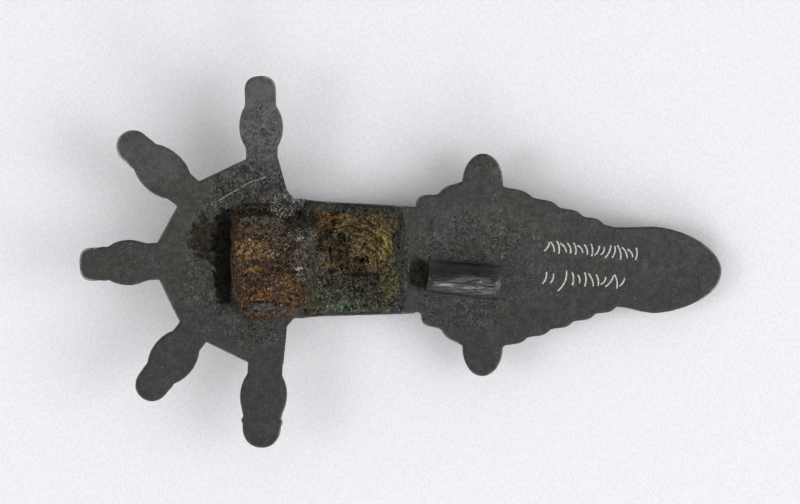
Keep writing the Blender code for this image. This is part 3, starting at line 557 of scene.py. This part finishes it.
def solidCopy(node, name):
    # a merged copy of a solid of the frame, for remeshing
    edit = bmesh.new()
    edit.from_mesh(frame["nodes"][node].data)
    bmesh.ops.remove_doubles(edit, verts=edit.verts, dist=0.002 * mm)
    mesh = bpy.data.meshes.new(name)
    edit.to_mesh(mesh)
    edit.free()
    return newPiece(name, mesh)


def remeshed(piece, sizes):
    # one even skin over the whole piece, with its steps smoothed
    remesh = piece.modifiers.new("remesh", "REMESH")
    remesh.mode = "VOXEL"
    remesh.voxel_size = sizes["voxel"] * 1
    smooth = piece.modifiers.new("smooth", "SMOOTH")
    smooth.factor = 0.5
    smooth.iterations = sizes["smoothing"]


def newTree(name, inputs):
    tree = bpy.data.node_groups.new(name, "GeometryNodeTree")
    for label, kind in {"Geometry": "Geometry", **inputs}.items():
        tree.interface.new_socket(name=label, in_out="INPUT", socket_type="NodeSocket" + kind)
    tree.interface.new_socket(name="Geometry", in_out="OUTPUT", socket_type="NodeSocketGeometry")
    return tree, put(tree, "NodeGroupInput").outputs


def closeTree(tree, geometry, material):
    real = put(tree, "GeometryNodeRealizeInstances", {"Geometry": geometry}).outputs[0]
    dressed = put(tree, "GeometryNodeSetMaterial", {"Geometry": real, "Material": material}).outputs[0]
    put(tree, "NodeGroupOutput", {"Geometry": dressed})
    return tree


def runTree(piece, tree, values):
    # values that the tree has no input for are left out
    modifier = piece.modifiers.new(tree.name, "NODES")
    modifier.node_group = tree
    for socket in tree.interface.items_tree:
        if socket.item_type == "SOCKET" and socket.in_out == "INPUT" and socket.name in values:
            modifier[socket.identifier] = values[socket.name]


def randomVector(tree, low, high, seed):
    inputs = {0: low, 1: high, "Seed": seed}
    return put(tree, "FunctionNodeRandomValue", inputs, data_type="FLOAT_VECTOR").outputs[0]


def reliefTree():
    # a surface worn into swells and pits: it moves each point along its normal
    sizes = ("Thickening", "Swell height", "Swell size", "Grain height", "Grain size", "Pit depth", "Pit size", "Seed")
    tree, given = newTree("surfaceRelief", {**dict.fromkeys(sizes, "Float"), "Material": "Material"})
    position = put(tree, "GeometryNodeInputPosition").outputs[0]
    normal = put(tree, "GeometryNodeInputNormal").outputs[0]

    def scaled(size):
        return vectorWork(tree, "SCALE", {0: position, 3: reckon(tree, "DIVIDE", 1.0, size)})

    def layer(size, detail, seedStep):
        seed = plus(tree, given["Seed"], seedStep)
        return minus(tree, noise(tree, scaled(size), 1.0, detail, 0.6, seed=seed), 0.5)

    swell = times(tree, layer(given["Swell size"], 2.0, 0.0), given["Swell height"])
    grain = times(tree, layer(given["Grain size"], 4.0, 3.7), given["Grain height"])
    pitsHere = between(tree, layer(times(tree, given["Pit size"], 4.0), 2.0, 8.1), 0.02, 0.14)
    pits = times(tree, between(tree, cells(tree, scaled(given["Pit size"]), 1.0), 0.34, 0.1), pitsHere)
    total = minus(tree, plus(tree, swell, grain), times(tree, pits, given["Pit depth"]))
    total = plus(tree, total, given["Thickening"])
    offset = vectorWork(tree, "SCALE", {0: normal, 3: total})
    moved = put(tree, "GeometryNodeSetPosition", {"Geometry": given["Geometry"], "Offset": offset}).outputs[0]
    return closeTree(tree, moved, given["Material"])


def edgeWear(piece, rounds):
    # how far each point stands out of its neighbours: above 0 on an edge, below 0 in a hollow
    mesh = piece.data

    def read(items, field, width, kind):
        values = np.empty(len(items) * width, dtype=kind)
        items.foreach_get(field, values)
        return values.reshape(-1, width)

    points = read(mesh.vertices, "co", 3, float)
    normals = read(mesh.vertices, "normal", 3, float)
    first, second = read(mesh.edges, "vertices", 2, np.int64).T
    counts = np.maximum(np.bincount(first, minlength=len(points)) + np.bincount(second, minlength=len(points)), 1)

    def meanOfEdges(atFirst, atSecond):
        # the mean of what a point's edges bring to it
        total = np.bincount(first, atFirst, len(points)) + np.bincount(second, atSecond, len(points))
        return total / counts

    def nearMean(values):
        return meanOfEdges(values[second], values[first])

    mean = np.stack([nearMean(points[:, i]) for i in range(3)], axis=1)
    lengths = np.linalg.norm(points[first] - points[second], axis=1)
    around = meanOfEdges(lengths, lengths)
    stands = np.einsum("ij,ij->i", points - mean, normals) / np.maximum(around, 1e-9)
    for _ in range(rounds):
        stands = (stands + nearMean(stands)) / 2
    attribute = mesh.attributes.new("edgeWear", "FLOAT", "POINT")
    attribute.data.foreach_set("value", np.clip(stands * 4, -1, 1).astype(np.float32))


relief = reliefTree()

castBody = {
    "voxel": 0.15 * mm,
    "quick factor": 2,
    "smoothing": 2,
    "wear rounds": 2,
    "most triangles": 190000,
    "Thickening": 0.02 * mm,
    "Swell height": 0.12 * mm,
    "Swell size": 4 * mm,
    "Grain height": 0.05 * mm,
    "Grain size": 0.8 * mm,
    "Pit depth": 0.08 * mm,
    "Pit size": 0.7 * mm,
    "Seed": 3.0,
}


def makeBody():
    body = solidCopy("brooch_body", "castBody")
    remeshed(body, castBody)
    runTree(body, relief, dict(castBody, Material=bronzePatina()))
    settled(body)
    count = sum(len(face.vertices) - 2 for face in body.data.polygons)
    if count > castBody["most triangles"]:
        decimate = body.modifiers.new("decimate", "DECIMATE")
        decimate.ratio = castBody["most triangles"] / count
        settled(body)
    body.data.shade_smooth()
    edgeWear(body, castBody["wear rounds"])
    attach(body, "root")
    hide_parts("brooch_body")
    print("cast body:", len(body.data.polygons), "faces")
    return body


springLump = {
    "voxel": 0.12 * mm,
    "quick factor": 1.6,
    "smoothing": 6,
    "wear rounds": 1,
    "Thickening": 0.12 * mm,
    "Swell height": 0.8 * mm,
    "Swell size": 1.5 * mm,
    "Grain height": 0.45 * mm,
    "Grain size": 0.5 * mm,
    "Pit depth": 0.45 * mm,
    "Pit size": 0.6 * mm,
    "Seed": 11.0,
    # what fills up the slots round the lugs and the step down into the bow; millimetres on the flat back
    "over upper lug": {"x": (-15.9, -8.4), "y": (4.5, 6.4), "z": (2.0, 4.2)},
    "round lower lug": {"x": (-15.8, -9.2), "y": (-7.0, -5.2), "z": (2.0, 3.85)},
    "slope ends": (-6.3, 6.9),
    "slope section": ((-7.6, 3.9), (-6.9, 3.7), (-6.2, 2.2), (-5.4, -0.6), (-4.9, -3.2), (-7.6, -3.2)),
}

bowCrust = {
    "voxel": 0.12 * mm,
    "quick factor": 1.6,
    "smoothing": 3,
    "wear rounds": 1,
    "Thickening": 0.34 * mm,
    "Swell height": 0.7 * mm,
    "Swell size": 1.4 * mm,
    "Grain height": 0.4 * mm,
    "Grain size": 0.45 * mm,
    "Pit depth": 0.4 * mm,
    "Pit size": 0.55 * mm,
    "Seed": 17.0,
    # the raised fan and its strands, which waver to the side
    "fan middle": (-6.6 * mm, 2.9 * mm),
    "fan half sizes": (5.9 * mm, 4.6 * mm),
    "fan height": 0.7 * mm,
    "strand width": 0.34 * mm,
    "strand height": 0.28 * mm,
    "strand waver": 0.5 * mm,
    "strand seed": 7,
    "wavers per metre": 600,
    # the crust that runs up to the foot end of the hollow; millimetres on the flat back
    "foot ends": (-6.8, 7.0),
    "foot section": ((4.2, -3.8), (6.0, -1.9), (7.4, -0.35), (8.1, -1.2), (8.1, -4.4), (5.6, -6.0)),
}


def addPrism(piece, outline, low, high, axis):
    # adds a prism, drawn on the flat back: outline runs round its section, low and high are its ends along the axis
    edit = bmesh.new()
    edit.from_mesh(piece.data)
    rings = []
    for level in (low, high):
        points = [(a, level, b) if axis == "y" else (a, b, level) for a, b in outline]
        rings.append([edit.verts.new(backPlace() @ (Vector(point) * mm)) for point in points])
    faces = [edit.faces.new(rings[0]), edit.faces.new(rings[1])]
    for i in range(len(outline)):
        j = (i + 1) % len(outline)
        faces.append(edit.faces.new((rings[0][i], rings[0][j], rings[1][j], rings[1][i])))
    bmesh.ops.recalc_face_normals(edit, faces=faces)
    edit.to_mesh(piece.data)
    edit.free()


def fillSpring(piece):
    for key in ("over upper lug", "round lower lug"):
        (left, right), (lower, upper), (low, high) = (springLump[key][axis] for axis in "xyz")
        addPrism(piece, ((left, lower), (right, lower), (right, upper), (left, upper)), low, high, "z")
    addPrism(piece, springLump["slope section"], *springLump["slope ends"], "y")


def fillBow(piece):
    addPrism(piece, bowCrust["foot section"], *bowCrust["foot ends"], "y")


def raiseFan(piece):
    # the thick fibrous part of the crust stands higher and ends at a ledge on its lower side
    middle, halfSizes = bowCrust["fan middle"], bowCrust["fan half sizes"]
    fibreMiddle = Vector(rust["fibre middle"]) * mm
    spaceNoise.seed_set(bowCrust["strand seed"])  # otherwise noise_vector differs from run to run
    for vertex in piece.data.vertices:
        reach = math.hypot(*((vertex.co[i] - middle[i]) / halfSizes[i] for i in range(2)))
        if vertex.normal.z < 0.2 or reach >= 1:
            continue
        waver = spaceNoise.noise_vector(vertex.co * bowCrust["wavers per metre"]).xy * bowCrust["strand waver"]
        offset = vertex.co.xy - fibreMiddle + waver
        around = math.atan2(offset.y, offset.x) * rust["fibre turns"]
        strand = spaceNoise.noise(Vector((offset.length / bowCrust["strand width"], around, 0)))
        lift = bowCrust["fan height"] * (1 - reach**4) + bowCrust["strand height"] * strand * min(1, 4 - 4 * reach)
        vertex.co += vertex.normal * lift


def makeRust(node, name, sizes, material, fill, raised=None):
    piece = solidCopy(node, name)
    fill(piece)
    remeshed(piece, sizes)
    settled(piece)
    if raised:
        raised(piece)
    runTree(piece, relief, dict(sizes, Material=material))
    settled(piece)
    piece.data.shade_smooth()
    edgeWear(piece, sizes["wear rounds"])
    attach(piece, "root")
    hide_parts(node)
    print(name + ":", len(piece.data.polygons), "faces")
    return piece


grainSizes = {
    "Density": 5.0e6,
    "Smallest": 0.05 * mm,
    "Largest": 0.16 * mm,
    "seeds": {"springGrains": 4, "crustGrains": 6},
}


def rustGrain():
    material, tree, shader, coords = newMaterial("rustGrain")
    tone = noise(tree, coords, 0.7, 3, 0.7, seed=51.0)
    colour = mixed(tree, between(tree, tone, 0.35, 0.6), rust["dark"], rust["brown"])
    colour = mixed(tree, between(tree, tone, 0.56, 0.7), colour, rust["yellow"])
    tree.links.new(colour, shader.inputs["Base Color"])
    shader.inputs["Roughness"].default_value = 0.7
    bumped(tree, shader, noise(tree, coords, 0.1, 3, 0.7, seed=52.0), 0.05)
    return material


def grainTree():
    # loose grains of rust, in clumps on what faces up
    inputs = {"Density": "Float", "Smallest": "Float", "Largest": "Float", "Seed": "Int", "Material": "Material"}
    tree, given = newTree("rustGrains", inputs)
    normal = put(tree, "GeometryNodeInputNormal").outputs[0]
    upward = between(tree, put(tree, "ShaderNodeSeparateXYZ", {0: normal}).outputs[2], 0.1, 0.5)
    position = put(tree, "GeometryNodeInputPosition").outputs[0]
    clumps = between(tree, noise(tree, position, 1.5 * mm, 2, 0.6, seed=61.0), 0.42, 0.62)
    density = times(tree, given["Density"], times(tree, clumps, upward))
    inputs = {"Mesh": given["Geometry"], "Density": density, "Seed": given["Seed"]}
    points = put(tree, "GeometryNodeDistributePointsOnFaces", inputs).outputs["Points"]
    grain = put(tree, "GeometryNodeMeshIcoSphere", {"Radius": 1.0, "Subdivisions": 1}).outputs[0]
    inputs = {2: given["Smallest"], 3: given["Largest"], "Seed": 5}
    size = put(tree, "FunctionNodeRandomValue", inputs, data_type="FLOAT").outputs[1]
    flat = joined(tree, size, size, times(tree, size, 0.8))
    turn = randomVector(tree, (0, 0, 0), (6.28, 6.28, 6.28), 9)
    inputs = {"Points": points, "Instance": grain, "Rotation": turn, "Scale": flat}
    placed = put(tree, "GeometryNodeInstanceOnPoints", inputs).outputs[0]
    return closeTree(tree, placed, given["Material"])


def makeGrains(source, name, material, tree):
    grains = newPiece(name, source.data.copy())
    grains.data.materials.clear()
    runTree(grains, tree, dict(grainSizes, Seed=grainSizes["seeds"][name], Material=material))
    settled(grains)
    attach(grains, "root")
    print(name + ":", len(grains.data.polygons), "faces")


inkMarks = {
    "thin ink": srgb(118, 120, 117),
    "full ink": srgb(196, 197, 191),
    "Stroke width": 0.21 * mm,
    "Film": 0.22,  # the film's thickness, as a share of the stroke's half width
    # each row's ends, in millimetres, and its strokes
    "rows": (
        {"ends": ((19.9, 2.1), (32.1, 1.1)), "Stroke count": 17, "Stroke height": 2.1 * mm, "Lean": 0.8, "Seed": 3},
        {"ends": ((23.4, -2.3), (30.2, -2.75)), "Stroke count": 9, "Stroke height": 2.0 * mm, "Lean": 0.7, "Seed": 8},
        {"ends": ((19.6, -2.2), (20.6, -2.25)), "Stroke count": 2, "Stroke height": 2.0 * mm, "Lean": 0.3, "Seed": 5},
        {"ends": ((22.0, -2.6), (22.9, -3.0)), "Stroke count": 1, "Stroke height": 4.6 * mm, "Lean": 0.0, "Seed": 1},
    ),
}


def whiteInk():
    material, tree, shader, coords = newMaterial("whiteInk")
    thin = noise(tree, coords, 0.25, 4, 0.7, seed=41.0)
    colour = mixed(tree, between(tree, thin, 0.3, 0.6), inkMarks["thin ink"], inkMarks["full ink"])
    tree.links.new(colour, shader.inputs["Base Color"])
    shader.inputs["Roughness"].default_value = 0.75
    bumped(tree, shader, thin, 0.03)
    return material


def inkTree():
    # a row of short pen strokes that are no letters
    inputs = dict.fromkeys(("Row length", "Stroke height", "Stroke width", "Film", "Lean"), "Float")
    tree, given = newTree("penStrokes", {**inputs, "Stroke count": "Int", "Seed": "Int", "Material": "Material"})
    gaps = larger(tree, minus(tree, given["Stroke count"], 1.0), 1.0)
    step = joined(tree, reckon(tree, "DIVIDE", given["Row length"], gaps))
    row = put(tree, "GeometryNodeMeshLine", {"Count": given["Stroke count"], "Offset": step}, mode="OFFSET").outputs[0]
    # one stroke: a bent line with a flattened round section
    half = times(tree, given["Stroke height"], 0.5)
    start, bend = joined(tree, y=times(tree, half, -1.0)), joined(tree, times(tree, half, 0.35))
    inputs = {"Resolution": 9, "Start": start, "Middle": bend, "End": joined(tree, y=half)}
    pen = put(tree, "GeometryNodeCurveQuadraticBezier", inputs).outputs[0]
    inputs = {"Resolution": 8, "Radius": times(tree, given["Stroke width"], 0.5)}
    nib = put(tree, "GeometryNodeCurvePrimitiveCircle", inputs).outputs[0]
    inputs = {"Curve": pen, "Profile Curve": nib, "Fill Caps": True}
    stroke = put(tree, "GeometryNodeCurveToMesh", inputs).outputs[0]
    inputs = {"Geometry": stroke, "Scale": joined(tree, 1.0, 1.0, given["Film"])}
    stroke = put(tree, "GeometryNodeTransform", inputs).outputs[0]
    # each stroke leans and is shortened by chance
    leanLow, leanHigh = joined(tree, z=times(tree, given["Lean"], -1.0)), joined(tree, z=given["Lean"])
    turn = randomVector(tree, leanLow, leanHigh, given["Seed"])
    size = randomVector(tree, (1.0, 0.55, 1.0), (1.0, 1.0, 1.0), given["Seed"])
    inputs = {"Points": row, "Instance": stroke, "Rotation": turn, "Scale": size}
    written = put(tree, "GeometryNodeInstanceOnPoints", inputs).outputs[0]
    return closeTree(tree, written, given["Material"])


def makeInk(body):
    ink = whiteInk()
    tree = inkTree()
    surface = BVHTree.FromObject(body, bpy.context.evaluated_depsgraph_get())
    edit = bmesh.new()
    for row in inkMarks["rows"]:
        start, end = (Vector((x, y, 0)) * mm for x, y in row["ends"])
        way = end - start
        written = newPiece("inkRow", bpy.data.meshes.new("inkRow"))
        runTree(written, tree, {**inkMarks, **row, "Row length": way.length, "Material": ink})
        settled(written)
        written.data.transform(Matrix.Translation(start) @ Matrix.Rotation(math.atan2(way.y, way.x), 4, "Z"))
        edit.from_mesh(written.data)
        bpy.data.objects.remove(written, do_unlink=True)
    # each point is dropped onto the cast surface and keeps its height in the film
    above = 30 * mm
    for vertex in edit.verts:
        hit = surface.ray_cast(Vector((vertex.co.x, vertex.co.y, above)), Vector((0, 0, -1)))[0]
        vertex.co.z += hit.z if hit else backHeight(vertex.co.x)
    bmesh.ops.recalc_face_normals(edit, faces=edit.faces)
    mesh = bpy.data.meshes.new("inkStrokes")
    edit.to_mesh(mesh)
    edit.free()
    mesh.materials.append(ink)
    mesh.shade_smooth()
    strokes = newPiece("inkStrokes", mesh)
    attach(strokes, "root")
    print("ink strokes:", len(mesh.polygons), "faces")


setting = {
    "floor colour": srgb(231, 231, 234),
    "floor shade": srgb(222, 222, 226),
    "floor reach": 2.0,
    "thread width": 0.24,  # millimetres
    # where each light stands, how wide it is and its power
    "lights": {
        "rightLight": {"at": (0.93, -0.15, 0.99), "size": 0.85, "power": 5.4},
        "leftLight": {"at": (-0.96, -0.15, 0.96), "size": 0.5, "power": 3.0},
        "frontReflector": {"at": (0.22, -1.27, 0.75), "size": 0.65, "power": 4.0},
    },
    # the room's own light: less on the far side of the table, more on the near side, less again straight overhead
    "far fill": 0.53,
    "near fill": 1.0,
    "far to near": (0.5, -0.3),
    "overhead share": 0.72,
    "overhead to side": (0.97, 0.8),
    # the view is that wide at the height of the flat back
    "camera height": 2.0,
    "sensor width": 36,
    "view width": 109.29 * mm,
    "view height": 8 * mm,
    "view middle": (-0.164 * mm, 1.34 * mm),
}


def makeFloor():
    mesh = bpy.data.meshes.new("paleFloor")
    reach = setting["floor reach"]
    corners = [(-reach, -reach, 0), (reach, -reach, 0), (reach, reach, 0), (-reach, reach, 0)]
    mesh.from_pydata(corners, [], [(0, 1, 2, 3)])
    material, tree, shader, coords = newMaterial("paleFloor")
    threads = mapping(tree, coords, scale=(1.0, 0.5, 1.0))
    weave = noise(tree, threads, setting["thread width"], 2, 0.6, seed=71.0)
    shade = mixed(tree, between(tree, weave, 0.35, 0.65), setting["floor shade"], setting["floor colour"])
    tree.links.new(shade, shader.inputs["Base Color"])
    shader.inputs["Roughness"].default_value = 0.95
    shader.inputs["Specular IOR Level"].default_value = 0.1
    bumped(tree, shader, weave, 0.05, 0.5)
    mesh.materials.append(material)
    newPiece("paleFloor", mesh)


def makeLights():
    for name, values in setting["lights"].items():
        light = bpy.data.lights.new(name, "AREA")
        light.shape = "DISK"
        light.size = values["size"]
        light.energy = values["power"]
        lamp = newPiece(name, light)
        lamp.location = values["at"]
        lamp.rotation_euler = (-lamp.location).to_track_quat("-Z", "Y").to_euler()
    world = bpy.data.worlds.new("softRoom")
    world.use_nodes = True
    room = world.node_tree
    way = put(room, "ShaderNodeTexCoord").outputs["Generated"]
    parts = put(room, "ShaderNodeSeparateXYZ", {0: way}).outputs
    overhead, side = setting["overhead to side"]
    inputs = {0: parts[2], 1: overhead, 2: side, 3: setting["overhead share"], 4: 1.0}
    kept = put(room, "ShaderNodeMapRange", inputs).outputs[0]
    lit = times(room, between(room, parts[1], *setting["far to near"]), kept)
    fill = put(room, "ShaderNodeMapRange", {0: lit, 3: setting["far fill"], 4: setting["near fill"]}).outputs[0]
    room.nodes["Background"].inputs["Color"].default_value = (1, 1, 1, 1)
    room.links.new(fill, room.nodes["Background"].inputs["Strength"])
    scene.world = world


def makeCamera():
    scene.view_settings.view_transform = "Standard"
    camera = bpy.data.cameras.new("cameraAbove")
    camera.sensor_width = setting["sensor width"]
    distance = setting["camera height"] - setting["view height"]
    camera.lens = setting["sensor width"] * distance / setting["view width"]
    camera.clip_end = 10
    holder = newPiece("cameraAbove", camera)
    holder.location = (*setting["view middle"], setting["camera height"])
    scene.camera = holder


makeFloor()
makeLights()
makeCamera()
print("setting done")
body = makeBody()
lump = makeRust("spring_remains", "springLump", springLump, ironRust("springRust"), fillSpring)
crust = makeRust("bow_crust", "bowCrust", bowCrust, ironRust("bowRust"), fillBow, raiseFan)
grains = grainTree()
grainMaterial = rustGrain()
makeGrains(lump, "springGrains", grainMaterial, grains)
makeGrains(crust, "crustGrains", grainMaterial, grains)
makeInk(body)
